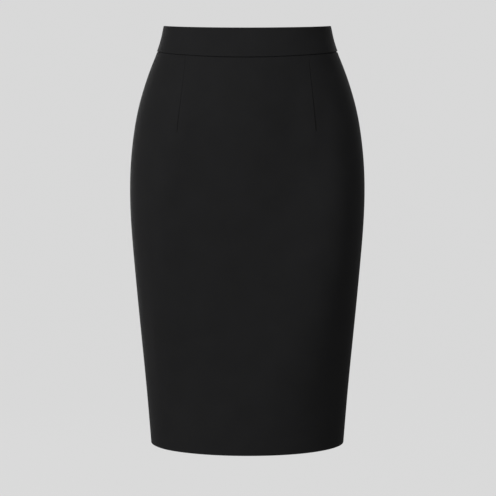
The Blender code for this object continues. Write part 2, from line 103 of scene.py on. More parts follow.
TAPE_INSET = 0.0009
TAPE_WIDTH = 0.0120
TAPE_DEPTH = 0.0018  # of the tape's face under the cloth's outer surface
TAPE_THICKNESS = 0.00045
TAPE_BEAD = 0.00030
CHAIN_DEPTH = 0.0031
CHAIN_WALL = 0.0016
COIL_PITCH = 0.00130
COIL_WIRE = 0.00026
COIL_REACH = 0.00098
COIL_HALF_DEPTH = 0.00048
SLIDER_WIDTH = 0.0070
SLIDER_WALL = 0.0032
WING = 0.0007  # thickness of each of the slider's two wings
NECK_HEIGHT = 0.0030
RING_HOLE = 0.00105
RING_RADIUS = 0.00205
RING_OUT = 0.0027  # of the ring's axis from the cloth
PULL_LENGTH = 0.022
PULL_WALL = 0.0010
PULL_BAR = 0.0011
PULL_EYE_WIDTH = 0.0021
PULL_EYE_DEPTH = 0.0026
PULL_NECK_WIDTH = 0.0043
PULL_WIDTH = 0.0064
PULL_GAP = 0.0003
WORN_BORDER = 0.00018  # width of the metal's edges that wear shows on

# ---- Sewing sizes ----

THREAD = 0.00013  # radius
STITCH_DIP = THREAD * 2.2  # a stitch's ends go this far into the cloth
SEAM_STITCH_DEPTH = 0.00115
SEAM_STITCH_END = 0.0005  # the side seams' stitches stop this far above the hem
STITCH = 0.0026  # length of a straight stitch with its gap
EDGE_PITCH = 0.0011  # of the overlock's zigzag
EDGE_WIDTH = 0.0038
LOOPER_DEPTH = CLOTH + 0.0001
NEEDLE_DEPTH = CLOTH + LAYER + THREAD / 2
CATCH_PITCH = 0.007  # of the hem's catches
TAPE_ROWS = (0.0029, 0.0075)  # from the centre line to the rows through each tape

# ---- Tables ----

Section = namedtuple("Section", "drop half_width front back front_square back_square")
SECTIONS = [Section(*row) for row in (
    (0.000, 0.1225, 0.0920, 0.0940, 2.10, 2.05),
    (0.020, 0.1268, 0.0946, 0.0980, 2.12, 2.07),
    (0.038, 0.1326, 0.0978, 0.1022, 2.15, 2.10),
    (0.060, 0.1414, 0.1018, 0.1076, 2.06, 2.12),
    (0.090, 0.1520, 0.1064, 0.1142, 2.12, 2.15),
    (0.125, 0.1616, 0.1106, 0.1202, 2.25, 2.18),
    (0.165, 0.1685, 0.1140, 0.1247, 2.38, 2.20),
    (0.205, 0.1724, 0.1160, 0.1271, 2.48, 2.20),
    (0.240, 0.1735, 0.1170, 0.1276, 2.53, 2.20),
    (0.280, 0.1726, 0.1173, 0.1268, 2.56, 2.20),
    (0.340, 0.1684, 0.1171, 0.1244, 2.51, 2.18),
    (0.440, 0.1596, 0.1164, 0.1198, 2.28, 2.14),
    (0.540, 0.1504, 0.1156, 0.1160, 1.98, 2.10),
    (0.620, 0.1440, 0.1150, 0.1130, 2.02, 2.05),
)]

Dip = namedtuple("Dip", "top seam")
DIPS = {FRONT: Dip(0.0022, 0.0062), BACK: Dip(0.0060, 0.0060)}

# The groove deepens from the seam to the tip, and the folded cloth under it, which
# lies towards the centre, lifts the surface over a width that narrows to nothing.
Dart = namedtuple("Dart", "across_top across_tip length")
DARTS = {FRONT: Dart(0.0923, 0.1018, 0.106), BACK: Dart(0.0820, 0.0870, 0.122)}
DART_FOLD_WIDTH = 0.011
RIGHT_TIP_IN = {FRONT: 0.0025, BACK: 0.0}  # the right dart's tip is this much nearer
GROOVE_AT_TOP = {LEFT: 0.00135, RIGHT: 0.00060}
GROOVE_AT_TIP = {LEFT: 0.00330, RIGHT: 0.00135}
DART_HALF_GROOVE = 0.0009
DART_FADE = 0.007
DART_LIFT = 0.00105
DART_BULK = 0.0010

# Soft forms of the cloth, as in the model: each one's middle, how far it spreads each
# way, and how far it stands out.
Form = namedtuple("Form", "across drop spread_across spread_down height")
FORMS = {
    FRONT: [Form(*row) for row in (
        (-0.087, 0.200, 0.025, 0.022, -0.0009),
        (0.097, 0.207, 0.026, 0.028, -0.0038),
        (-0.130, 0.270, 0.028, 0.142, 0.0064),
        (0.134, 0.285, 0.043, 0.108, 0.0065),
        (-0.002, 0.109, 0.057, 0.075, 0.0036),
        (0.060, 0.206, 0.041, 0.115, -0.0060),
        (0.100, 0.406, 0.041, 0.121, 0.0070),
        (-0.107, 0.174, 0.027, 0.058, 0.0044),
        (0.113, 0.155, 0.015, 0.054, -0.0018),
        (0.120, 0.286, 0.027, 0.092, 0.0029),
        (0.141, 0.310, 0.021, 0.084, 0.0016),
        (0.059, 0.520, 0.044, 0.075, 0.0031),
        (-0.127, 0.461, 0.025, 0.113, 0.0052),
        (-0.098, 0.163, 0.020, 0.053, 0.0031),
        (0.070, 0.117, 0.022, 0.055, -0.0019),
        (-0.004, 0.408, 0.046, 0.108, -0.0042),
    )],
    BACK: [Form(*row) for row in (
        (-0.086, 0.200, 0.028, 0.040, 0.0010),
        (0.086, 0.200, 0.028, 0.040, 0.0010),
        (0.000, 0.250, 0.024, 0.090, -0.0012),
    )],
}

ARC_SAMPLES = 129


# ---- The skirt's surface ----


def natural_spline(stations, values):
    """The natural cubic spline through the values, as a function of an array."""
    stations, values = np.array(stations), np.array(values)
    last = len(stations) - 1
    step = np.diff(stations)
    slope = np.diff(values) / step
    system, bends = np.eye(last + 1), np.zeros(last + 1)
    for i in range(1, last):
        system[i, i - 1 : i + 2] = step[i - 1], 2 * (step[i - 1] + step[i]), step[i]
        bends[i] = 6 * (slope[i] - slope[i - 1])
    second = np.linalg.solve(system, bends)

    def read(at):
        span = np.clip(np.searchsorted(stations, at) - 1, 0, last - 1)
        t, h = at - stations[span], step[span]
        a, b = second[span], second[span + 1]
        start = slope[span] - h * (2 * a + b) / 6
        return values[span] + t * (start + t * (a / 2 + t * (b - a) / (6 * h)))

    return read


SECTION_DROPS = [section.drop for section in SECTIONS]
READ = {
    column: natural_spline(SECTION_DROPS, [getattr(s, column) for s in SECTIONS])
    for column in Section._fields[1:]
}
FACE_WORD = {FRONT: "front", BACK: "back"}


def smooth_step(start, end, at):
    """0 before start and 1 after end, with a smooth rise between them."""
    t = np.clip((at - start) / (end - start), 0, 1)
    return t * t * (3 - 2 * t)


def quarter(face, drop):
    """Half width, depth and exponent of a quarter section, and its samples: the
    angle at each and the distance round the cloth from the centre line to it."""
    half_width = READ["half_width"](drop)[..., None]
    depth = READ[FACE_WORD[face]](drop)[..., None]
    square = READ[FACE_WORD[face] + "_square"](drop)[..., None]
    angle = np.linspace(0, math.pi / 2, ARC_SAMPLES)
    x = half_width * np.sin(angle) ** (2 / square)
    y = depth * np.cos(angle) ** (2 / square)
    steps = np.hypot(np.diff(x), np.diff(y))
    run = np.concatenate([np.zeros_like(half_width), np.cumsum(steps, -1)], -1)
    return half_width[..., 0], depth[..., 0], square[..., 0], angle, run


def half_round(face, drop):
    """The distance round the cloth from the centre line to the side seam."""
    return quarter(face, drop)[4][..., -1]


def dart_line(face, side, drop):
    """Distance from the centre line to the dart's line, which runs on to the hem."""
    dart = DARTS[face]
    down = np.clip((drop - SEAM_DROP) / dart.length, 0, 1)
    across_tip = dart.across_tip - np.where(side == RIGHT, RIGHT_TIP_IN[face], 0)
    return dart.across_top + (across_tip - dart.across_top) * down


def relief(face, across, drop):
    """How far the cloth's soft forms stand out."""
    height = np.zeros_like(drop)
    for form in FORMS[face]:
        down = ((drop - form.drop) / form.spread_down) ** 2
        aside = ((across - form.across) / form.spread_across) ** 2
        height += form.height * np.exp(-(aside + down))
    return height


def cloth_points(face, across, drop, depth):
    """Points at these signed distances from the centre line, drops and depths under
    the cloth's outer surface."""
    across, drop = np.broadcast_arrays(across, drop)
    half_width, section_depth, square, angle, run = quarter(face, drop)
    reach = np.abs(across)
    after = np.clip((run < reach[..., None]).sum(-1), 1, ARC_SAMPLES - 1)
    run_end = np.take_along_axis(run, after[..., None], -1)[..., 0]
    run_start = np.take_along_axis(run, after[..., None] - 1, -1)[..., 0]
    share = (reach - run_start) / (run_end - run_start)
    turn = angle[after - 1] + share * (angle[after] - angle[after - 1])
    turn = np.minimum(turn, math.pi / 2)
    sine, cosine = np.sin(turn) ** (2 / square), np.cos(turn) ** (2 / square)
    side = np.where(across < 0, -1.0, 1.0)
    normal_x = side * sine ** (square - 1) / half_width
    normal_y = face * cosine ** (square - 1) / section_depth
    size = np.hypot(normal_x, normal_y)
    out = relief(face, across, drop) - depth
    x = side * half_width * sine + out * normal_x / size
    y = face * section_depth * cosine + out * normal_y / size
    return np.stack([x, y, ORIGIN_DROP - drop], -1)


def tilt(face, across):
    """1 at the centre line and 0 at the side seam, as a level ring seen askew."""
    drop = np.full_like(across, SEAM_DROP)
    y = cloth_points(face, across, drop, 0.0)[..., 1]
    return (y / READ[FACE_WORD[face]](drop)) ** 2


# ---- Grids ----

# A column's place round a panel: base runs from 0 at the centre line through 1 at the
# dart to 2 at the side seam, and offset is metres from there, away from the centre.
Column = namedtuple("Column", "base offset")
CENTRE, DART, SIDE = 0.0, 1.0, 2.0

EDGE_STEPS = (0.0, 0.06, 0.16, 0.3, 0.5, 0.75, 1.0, 1.5)  # in rolls from a sewn edge


def spread(start, end, count):
    """Columns evenly between two bases, both ends included."""
    return [Column(start + (end - start) * i / count, 0.0) for i in range(count + 1)]


def edge_offsets(roll):
    """Distances from a sewn edge: close over its roll, then over the allowance."""
    near = [SEAM_HALF_GAP + roll * step for step in EDGE_STEPS]
    step_edge = [ALLOWANCE - STEP_RUN, ALLOWANCE - STEP_RUN / 2, ALLOWANCE]
    return near + [0.0028, 0.005, 0.008, 0.0115] + step_edge + [0.0175]


def dart_offsets():
    """Distances from the dart's line, close in the groove and over its fold."""
    groove = [DART_HALF_GROOVE * share for share in (0.25, 0.5, 0.75, 1.0, 1.4)]
    fold = list(np.arange(0.0024, DART_FOLD_WIDTH + 0.0036, 0.0013))
    inner = sorted([-offset for offset in groove + fold])
    return inner + [0.0] + groove + [0.0024, 0.004, 0.006]


def half_columns(side_roll):
    """Columns from just off the centre line to the side seam."""
    to_dart = spread(CENTRE, 0.84, 21)[1:]
    past_dart = spread(1.085, 1.80, 24)
    at_dart = [Column(DART, offset) for offset in dart_offsets()]
    at_side = [Column(SIDE, -offset) for offset in reversed(edge_offsets(side_roll))]
    return to_dart + at_dart + past_dart + at_side


def across_of(face, columns, side, drop):
    """Signed distance from the centre line of each column at each drop."""
    base = np.array([column.base for column in columns])
    offset = np.array([column.offset for column in columns])
    to_dart, to_side = dart_line(face, side, drop), half_round(face, drop)
    inside = np.minimum(base, DART) * to_dart
    outside = np.maximum(base - DART, 0) * (to_side - to_dart)
    return side * (inside + outside + offset)


def seam_drop(face, across):
    return SEAM_DROP + DIPS[face].seam * tilt(face, across)


def band_foot_gap(across):
    """The band's half of the waist seam's gap, which opens towards the wearer's left."""
    return WAIST_HALF_GAP * np.exp(across / WAIST_GAP_REACH)


def top_drop(face, across):
    return DIPS[face].top * tilt(face, across)


def roll(distance, radius, depth=None):
    """Depth of an edge that turns in on a quarter circle, this far from the edge, or
    on a quarter ellipse of this depth."""
    into = np.clip(radius - distance, 0, radius) / radius
    return (depth or radius) * (1 - np.sqrt(1 - into**2))


def inner_layer(distance, width):
    """1 on a layer of this width along an edge, falling to 0 at its far side."""
    return 1 - smooth_step(width - STEP_RUN, width, distance)


# ---- Materials ----


class Nodes:
    """Adds nodes to a material and links them.  A value may be a constant or a socket."""

    def __init__(self, name, on_cloth=False):
        self.material = bpy.data.materials.new(name)
        self.material.use_nodes = True
        self.tree = self.material.node_tree
        self.shader = self.tree.nodes["Principled BSDF"]
        if on_cloth:
            self.place = self.add("UVMap", {"uv_map": "cloth"}).outputs["UV"]
        else:
            self.place = self.add("TexCoord").outputs["Object"]

    def give(self, node, inputs):
        for key, value in inputs.items():
            if isinstance(value, bpy.types.NodeSocket):
                self.tree.links.new(value, node.inputs[key])
            else:
                node.inputs[key].default_value = value

    def add(self, kind, settings=None, inputs=None):
        node = self.tree.nodes.new("ShaderNode" + kind)
        for key, value in (settings or {}).items():
            setattr(node, key, value)
        self.give(node, inputs or {})
        return node

    def set(self, **inputs):
        self.give(self.shader, {key.replace("_", " "): value for key, value in inputs.items()})

    def mapped(self, **mapping):
        return self.add("Mapping", None, {"Vector": self.place, **mapping}).outputs[0]

    def noise(self, scale, detail, **more):
        inputs = {"Vector": self.place, "Scale": scale, "Detail": detail, **more}
        return self.add("TexNoise", None, inputs).outputs["Fac"]

    def stripes(self, direction, pitch, distortion, **more):
        """Soft stripes across one direction, this far apart."""
        inputs = {"Vector": self.place, "Scale": math.pi / 10 / pitch, "Detail": 1.0, **more}
        node = self.add("TexWave", {"bands_direction": direction}, inputs)
        node.inputs["Distortion"].default_value = distortion
        return node.outputs["Fac"]

    def mix(self, factor, first, second):
        """A mix of two colours by a factor socket."""
        node = self.add("Mix", {"data_type": "RGBA"}, {0: factor, 6: (*first, 1), 7: (*second, 1)})
        return node.outputs[2]

    def math(self, operation, first, second):
        return self.add("Math", {"operation": operation}, {0: first, 1: second}).outputs[0]

    def total(self, start, *terms):
        """A value with others added to it, each given with its weight."""
        for value, weight in terms:
            start = self.math("ADD", start, self.math("MULTIPLY", value, weight))
        return start

    def ramp(self, value, low, high, start=0.0, end=1.0):
        """A value from one range put into another."""
        keys = {"Value": value, "From Min": low, "From Max": high, "To Min": start, "To Max": end}
        return self.add("MapRange", {"clamp": True}, keys).outputs[0]

    def finish(self, colour, roughness, specular, bump, **more):
        """Sets the shader's sockets.  bump is a strength, a distance and a height."""
        inputs = dict(zip(("Strength", "Distance", "Height"), bump))
        normal = self.add("Bump", None, inputs).outputs[0]
        self.set(
            Base_Color=colour, Roughness=roughness, Specular_IOR_Level=specular, Normal=normal,
            **more,
        )
        return self.material


CLOTH_DARK = (0.0032, 0.0032, 0.0033)
CLOTH_LIGHT = (0.0052, 0.0052, 0.0054)
TWILL_PITCH = 0.00075
TWILL_TURN = (0, 0, math.radians(-58))
YARN = 0.00042
TAPE_RIB, TAPE_ROW = 0.0006, 0.0009


def cloth_material():
    """Matt black suiting: a fine twill, with slubs and slow changes of tone."""
    made = Nodes("skirt_cloth", on_cloth=True)
    askew = {"Vector": made.mapped(Rotation=TWILL_TURN), "Detail": 2.0, "Detail Scale": 3.0}
    twill = made.stripes("X", TWILL_PITCH, 0.6, **askew)
    weft = made.stripes("Y", YARN, 1.0)
    slub = made.noise(900.0, 3.0, Roughness=0.6, Vector=made.mapped(Scale=(1, 0.22, 1)))
    fleck = made.noise(2200.0, 2.0)
    slow = made.noise(26.0, 2.0)
    weave = made.total(made.math("MULTIPLY", twill, 0.6), (weft, 0.4))
    tone = made.total(made.math("MULTIPLY", weave, 0.35), (fleck, 0.45), (slow, 0.35))
    return made.finish(
        made.mix(made.ramp(tone, 0.30, 0.85), CLOTH_DARK, CLOTH_LIGHT),
        made.ramp(made.total(slub, (slow, 0.5)), 0.4, 1.1, 0.86, 0.95),
        0.03,
        (0.35, 0.00012, made.total(weave, (slub, 0.7))),
        Sheen_Weight=0.003,
        Sheen_Roughness=0.35,
    )


def tape_material():
    """Black woven zip tape: fine ribs across it and rows down its length."""
    made = Nodes("zip_tape", on_cloth=True)
    ribs = made.stripes("Y", TAPE_RIB, 0.3)
    rows = made.stripes("X", TAPE_ROW, 0.2)
    grain = made.noise(1500.0, 3.0)
    weave = made.total(made.math("MULTIPLY", ribs, 0.6), (rows, 0.5))
    tone = made.ramp(made.math("ADD", weave, grain), 0.5, 1.6)
    colour = made.mix(tone, (0.0035, 0.0035, 0.0035), (0.009, 0.009, 0.0095))
    roughness = made.ramp(grain, 0.3, 0.7, 0.66, 0.82)
    return made.finish(colour, roughness, 0.12, (0.5, 0.00012, made.total(weave, (grain, 0.4))))


def metal_material():
    """Black lacquer over cast metal, which is worn thin along the edges."""
    made = Nodes("zip_metal")
    edge = made.add("NewGeometry").outputs["Pointiness"]
    speckle = made.noise(900.0, 4.0)
    worn = made.math("MULTIPLY", made.ramp(edge, 0.56, 0.66), made.ramp(speckle, 0.46, 0.70))
    return made.finish(
        made.mix(worn, (0.008, 0.008, 0.0085), (0.16, 0.155, 0.15)),
        made.ramp(speckle, 0.3, 0.7, 0.36, 0.50),
        0.22,
        (0.12, 0.00003, made.noise(5200.0, 2.0)),
        Metallic=made.ramp(worn, 0.0, 1.0, 0.0, 0.95),
    )


def grained(name, scale, detail, tones, roughness, specular, strength, distance):
    """A smooth material that one fine noise varies."""
    made = Nodes(name)
    grain = made.noise(scale, detail)
    return made.finish(
        made.mix(made.ramp(grain, 0.3, 0.7), *tones),
        made.ramp(grain, 0.3, 0.7, *roughness),
        specular,
        (strength, distance, grain),
    )


CLOTH_FINISH = cloth_material()
TAPE_FINISH = tape_material()
METAL_FINISH = metal_material()
# Polyester thread, a little shinier than the cloth, with a twist along it.
THREAD_TONES = (0.006, 0.006, 0.006), (0.012, 0.012, 0.012)
THREAD_FINISH = grained("thread", 4200.0, 2.0, THREAD_TONES, (0.5, 0.68), 0.25, 0.3, 0.00005)
# Black nylon, smooth with a soft gloss.
COIL_TONES = (0.008, 0.008, 0.008), (0.014, 0.014, 0.015)
COIL_FINISH = grained("zip_coil", 1800.0, 3.0, COIL_TONES, (0.30, 0.42), 0.45, 0.15, 0.00004)


# ---- Meshes ----


def add_object(name, data):
    obj = bpy.data.objects.new(name, data)
    bpy.context.scene.collection.objects.link(obj)
    return obj


def finished(name, mesh, sharp, material):
    """An object of a mesh, smooth but for edges past this many degrees."""
    mesh.shade_smooth()
    mesh.set_sharp_from_angle(angle=math.radians(sharp))
    mesh.materials.append(material)
    return add_object(name, mesh)


def mesh_object(name, points, faces, material, uvs=None):
    mesh = bpy.data.meshes.new(name)
    mesh.from_pydata([tuple(p) for p in points], [], [tuple(f) for f in faces])
    if uvs is not None:
        layer = mesh.uv_layers.new(name="cloth")
        corner = np.zeros(len(mesh.loops), np.int32)
        mesh.loops.foreach_get("vertex_index", corner)
        layer.data.foreach_set("uv", np.asarray(uvs, np.float32)[corner].ravel())
    return finished(name, mesh, 50, material)


def shell(name, face, across, drop, outside, inside, material, held=None):
    """A closed thin wall between two depths under the cloth's surface.  held says
    which cells of its grid hold cloth."""
    across, drop = np.broadcast_arrays(across, drop)
    held = np.ones_like(drop[1:, 1:], bool) if held is None else held
    rows, columns = held.shape
    grid = np.arange((rows + 1) * (columns + 1)).reshape(rows + 1, columns + 1)
    corners = np.stack([grid[:-1, :-1], grid[1:, :-1], grid[1:, 1:], grid[:-1, 1:]], -1)
    front = corners[held]
    back = front[:, ::-1] + grid.size
    framed = np.pad(held, 1)
    beyond = (framed[1:-1, :-2], framed[2:, 1:-1], framed[1:-1, 2:], framed[:-2, 1:-1])
    rims = []
    for i, neighbour in enumerate(beyond):
        open_side = corners[held & ~neighbour]
        start, end = open_side[:, i], open_side[:, (i + 1) % 4]
        rims.append(np.stack([end, start, start + grid.size, end + grid.size], -1))
    faces = np.concatenate([front, back, *rims])
    layers = [cloth_points(face, across, drop, depth) for depth in (outside, inside)]
    points = np.stack(layers).reshape(-1, 3)
    uvs = np.stack([np.stack([across, -drop], -1)] * 2).reshape(-1, 2)
    used, faces = np.unique(faces, return_inverse=True)
    points, uvs, faces = points[used], uvs[used], faces.reshape(-1, 4)
    a, b, c = (points[faces[: len(front), i]] for i in (0, 1, 2))
    facing = (np.cross(b - a, c - a) * (a * [1, 1, 0])).sum()
    if facing < 0:
        faces = faces[:, ::-1]
    return mesh_object(name, points, faces, material, uvs)


def tube(paths, radius, sides):
    """Points and faces of closed tubes along open paths of points."""
    all_points, all_faces, start = [], [], 0
    turns = np.arange(sides) * 2 * math.pi / sides
    for path in paths:
        path = np.asarray(path, float)
        along = np.gradient(path, axis=0)
        along /= np.linalg.norm(along, axis=1)[:, None]
        aside = np.zeros_like(path)
        aside[0] = np.cross(along[0], (0.31, 0.52, 0.79))
        for i in range(len(path)):
            carried = aside[max(i - 1, 0)]
            carried = carried - (carried @ along[i]) * along[i]
            aside[i] = carried / np.linalg.norm(carried)
        up = np.cross(along, aside)
        ring = np.cos(turns)[:, None] * aside[:, None] + np.sin(turns)[:, None] * up[:, None]
        index = start + np.arange(len(path) * sides).reshape(-1, sides)
        turned = np.roll(index, -1, axis=1)
        walls = np.stack([index[:-1], turned[:-1], turned[1:], index[1:]], -1)
        all_faces += walls.reshape(-1, 4).tolist()
        all_faces += [index[0][::-1].tolist(), index[-1].tolist()]
        all_points.append((path[:, None] + radius * ring).reshape(-1, 3))
        start += index.size
    return np.concatenate(all_points), all_faces


# ---- Panels ----


def panel_falls():
    """How far each row of a panel lies below the waist seam, measured at the side."""
    tip = DARTS[FRONT].length
    top = [WAIST_HALF_GAP + WAIST_ROLL * step for step in EDGE_STEPS]
    upper = np.arange(0.004, tip - 0.012, 0.0042)
    at_tip = np.arange(tip - 0.012, tip + 0.014, 0.0016)
    back_tip = np.arange(tip + 0.0165, tip + 0.030, 0.0022)
    middle = np.arange(tip + 0.0335, VENT_FALL - 0.002, 0.0065)
    turn_up = FALL - HEM_TURN_UP
    lower = np.linspace(VENT_FALL, turn_up - 0.003, 22)
    steps = [turn_up - STEP_RUN / 2, turn_up, turn_up + STEP_RUN / 2, turn_up + STEP_RUN]
    in_hem = np.linspace(turn_up + 0.004, FALL - 0.004, 7)
    hem = [FALL - HEM_ROLL * step for step in reversed(EDGE_STEPS)]
    return np.concatenate([top, upper, at_tip, back_tip, middle, lower, steps, in_hem, hem])


FALLS = panel_falls()


def panel_drop(face, columns, sides):
    """The drop of each row and column: rows follow the waist seam and level out."""
    level = np.full((1, 1), SEAM_DROP)
    seam = seam_drop(face, across_of(face, columns, sides, level))
    return seam + FALLS[:, None] / FALL * (HEM_DROP - seam)


def dart_forms(face, across, drop):
    """The dart's outer depth, and the bulk of its fold inside."""
    dart = DARTS[face]
    top = SEAM_DROP + DIPS[face].seam / 2
    tip = top + dart.length
    down = np.clip((drop - top) / dart.length, 0, 1)
    off = np.abs(across) - dart_line(face, np.where(across < 0, RIGHT, LEFT), drop)
    alive = 1 - smooth_step(tip, tip + DART_FADE, drop)
    profile = np.clip(1 - np.abs(off) / DART_HALF_GROOVE, 0, 1) ** 0.8
    at_top, at_tip = (
        np.where(across > 0, depths[LEFT], depths[RIGHT])
        for depths in (GROOVE_AT_TOP, GROOVE_AT_TIP)
    )
    deep = at_top + (at_tip - at_top) * down**1.5
    width = DART_FOLD_WIDTH * (1 - down) + 0.0002
    on_fold = smooth_step(-width - 0.0020, -width, off) * (off <= 0)
    lift = DART_LIFT * on_fold * alive * (1 - 0.4 * down**3)
    bulk = DART_BULK * smooth_step(-width - STEP_RUN, -width, off) * (off <= 0)
    below_lap = smooth_step(SEAM_DROP + DIPS[face].seam + LAP, top + LAP + 0.006, drop)
    return deep * profile * alive - lift, bulk * below_lap * (drop < tip)


def panel(node, face, columns, sides, drop=None, held=None, centre=0.0, sunk=0.0):
    """A panel between its outer face and its inner face.  centre is the width of the
    layer inside its centre edge at each row, and 0 where that edge isn't sewn."""
    drop = panel_drop(face, columns, sides) if drop is None else drop
    across = across_of(face, columns, sides, drop)
    width = np.broadcast_to(centre, FALLS.shape)[:, None]
    to_side = half_round(face, drop) - np.abs(across)
    to_top = FALLS[:, None] - WAIST_HALF_GAP
    to_hem = HEM_DROP - drop
    groove, bulk = dart_forms(face, across, drop)
    outside = np.maximum(roll(to_side, SEAM_ROLL), roll(to_top, WAIST_ROLL, WAIST_DEPTH))
    outside = np.maximum(outside, np.where(width > 0, roll(np.abs(across), SEAM_ROLL), 0))
    inside = CLOTH + bulk + LAYER * inner_layer(to_side, ALLOWANCE)
    inside = inside + LAYER * np.where(width > 0, inner_layer(sides * across, width), 0)
    hem_turn = roll(to_hem, HEM_ROLL)
    outside = np.maximum(outside + groove, hem_turn)
    inside = inside + LAYER * inner_layer(to_hem, HEM_TURN_UP)
    inside = inside - (inside - HEM_ROLL) * (hem_turn / HEM_ROLL)
    inside = np.maximum(inside, outside + THINNEST)
    depths = outside + sunk, inside + sunk
    return shell(node + "_cloth", face, across, drop, *depths, CLOTH_FINISH, held)


def front_columns(side_roll):
    half = half_columns(side_roll)
    columns = half[::-1] + [Column(CENTRE, 0.0)] + half
    return columns, np.array([RIGHT] * len(half) + [LEFT] * (len(half) + 1))


def front_panel():
    return panel("front", FRONT, *front_columns(SEAM_ROLL))


def back_columns():
    at_centre = [Column(CENTRE, offset) for offset in edge_offsets(SEAM_ROLL)]
    facing = [UNDERLAY_WIDTH - STEP_RUN, UNDERLAY_WIDTH - STEP_RUN / 2, UNDERLAY_WIDTH]
    at_facing = [Column(CENTRE, offset) for offset in (0.021, 0.0255, 0.030, *facing, 0.038)]
    rest = [c for c in half_columns(SEAM_ROLL) if c.base >= 0.51]
    return at_centre + at_facing + rest


def back_left_panel():
    """Inside its centre edge lie the seam's allowance and then the vent's facing."""
    opened = smooth_step(VENT_FALL - 0.012, VENT_FALL, FALLS)
    layer = ALLOWANCE + (UNDERLAY_WIDTH - ALLOWANCE) * opened
    return panel("back_left", BACK, back_columns(), LEFT, centre=layer)


def back_right_panel():
    """Below the vent's top it runs on past the centre, sunk, as the underlay."""
    widths = np.linspace(UNDERLAY_WIDTH, 0.002, 12)
    columns = [Column(CENTRE, -width) for width in widths] + back_columns()
    vent_row = int(np.argmin(np.abs(FALLS - VENT_FALL)))
    drop = panel_drop(BACK, columns, RIGHT)
    share = np.clip((FALLS[vent_row:] - VENT_FALL) / VENT_HEIGHT, 0, 1)
    for j, width in enumerate(widths):
        slant = UNDERLAY_SLANT * width / UNDERLAY_WIDTH * (1 - share) ** 4
        drop[vent_row:, j] += slant - UNDERLAY_SHORT * share**8
    held = np.ones_like(drop[1:, 1:], bool)
    held[:vent_row, : len(widths)] = False
    own = RIGHT * across_of(BACK, columns, RIGHT, drop)
    near = 1 - smooth_step(0.001, UNDERLAY_RUN, own)
    low = smooth_step(VENT_DROP - VENT_RUN, VENT_DROP, drop)
    sunk = (CLOTH + 2 * LAYER + UNDERLAY_CLEAR) * near * low
    seam = np.where(np.arange(len(FALLS)) < vent_row, ALLOWANCE, 0.0)
    return panel("back_right", BACK, columns, RIGHT, drop, held, seam, sunk)


# ---- Waistband ----


def band_end(drop):
    """Half the gap between the band's two ends, parted at the slider's neck."""
    neck = NECK_WIDTH / 2 + NECK_CLEAR
    closed = smooth_step(SLIDER_DROP + SLIDER_LENGTH / 2, SEAM_DROP, drop)
    return neck + (SEAM_HALF_GAP - neck) * closed


def band_piece(node, face, columns, sides):
    level = np.full((1, 1), SEAM_DROP)
    at_seam = across_of(face, columns, sides, level)
    top = top_drop(face, at_seam)
    low = seam_drop(face, at_seam) - band_foot_gap(at_seam)
    fold = np.array([[BAND_FOLD * step] for step in EDGE_STEPS])
    foot = np.array([[WAIST_ROLL * step] for step in reversed(EDGE_STEPS)])
    start, end = top + fold[-1], low - foot[0]
    shares = np.linspace(0, 1, 12)[1:-1, None]
    lap = LAP * np.array([[0.04], [0.3], [0.7], [0.9], [1.0]])
    drop = np.concatenate([top + fold, start + shares * (end - start), low - foot, low + lap])
    across = across_of(face, columns, sides, drop)
    if face == BACK:
        leads = (1 - c.offset / END_REACH if c.base == CENTRE else 0 for c in columns)
        lead = np.array([max(0.0, lead) for lead in leads])
        across = across + sides * lead * (band_end(drop) - SEAM_HALF_GAP)
    to_side = half_round(face, drop) - np.abs(across)
    rise = BAND_RISE[face]
    at_foot = roll(low - drop, WAIST_ROLL, WAIST_DEPTH + rise)
    outside = np.maximum(roll(to_side, BAND_SIDE_ROLL), at_foot)
    if face == BACK:
        outside = np.maximum(outside, roll(np.abs(across) - band_end(drop), SEAM_ROLL))
    outside = np.maximum(outside, roll(drop - top, BAND_FOLD))
    outside = np.where(drop > low, LAP_DEPTH + rise, outside)
    turned = np.maximum(roll(drop - top, BAND_FOLD), roll(low + LAP - drop, BAND_FACING_ROLL))
    inside = np.maximum(BAND_THICKNESS - turned, outside + 0.0001)
    depths = outside - rise, inside - rise
    return shell(node + "_cloth", face, across, drop, *depths, CLOTH_FINISH)


# ---- Zip ----


def back_slope():
    """How far the centre back leans from upright at the slider."""
    above, below = SLIDER_DROP, SLIDER_DROP + PULL_LENGTH
    out = READ["back"](np.array([above, below]))
    return math.atan2(out[1] - out[0], below - above)


def slider_frame():
    """The slider's own frame: its origin on the pull's axis, +Y away from the cloth."""
    slope = back_slope()
    face = READ["back"](np.array([SLIDER_DROP]))[0]
    y = face + RING_OUT * math.cos(slope)
    z = ORIGIN_DROP - SLIDER_DROP + RING_OUT * math.sin(slope)
    return Matrix.Translation((0.0, y, z)) @ Matrix.Rotation(slope, 4, "X")


def zip_tape(node, side):
    """A woven tape with a thicker cord along each edge."""
    near, far = (0, 0.02, 0.05, 0.08, 0.12, 0.2), (0.8, 0.9, 0.94, 0.97, 1.0)
    shares = np.array([*near, 0.35, 0.5, 0.65, *far])
    bead = np.exp(-(((shares - 0.05) / 0.035) ** 2))
    bead = bead + 0.6 * np.exp(-(((shares - 0.96) / 0.03) ** 2))
    across = side * (TAPE_INSET + TAPE_WIDTH * shares)[None, :]
    seam = SEAM_DROP + DIPS[BACK].seam
    drops = np.linspace(seam + LAP + 0.0006, ZIP_END_DROP + TAPE_TAIL, 90)[:, None]
    ripple = 0.00004 * np.sin(drops / 0.0021 * math.pi)
    inside = TAPE_DEPTH + TAPE_THICKNESS + TAPE_BEAD * bead + ripple
    return shell(node + "_woven", BACK, across, drops, TAPE_DEPTH, inside, TAPE_FINISH)


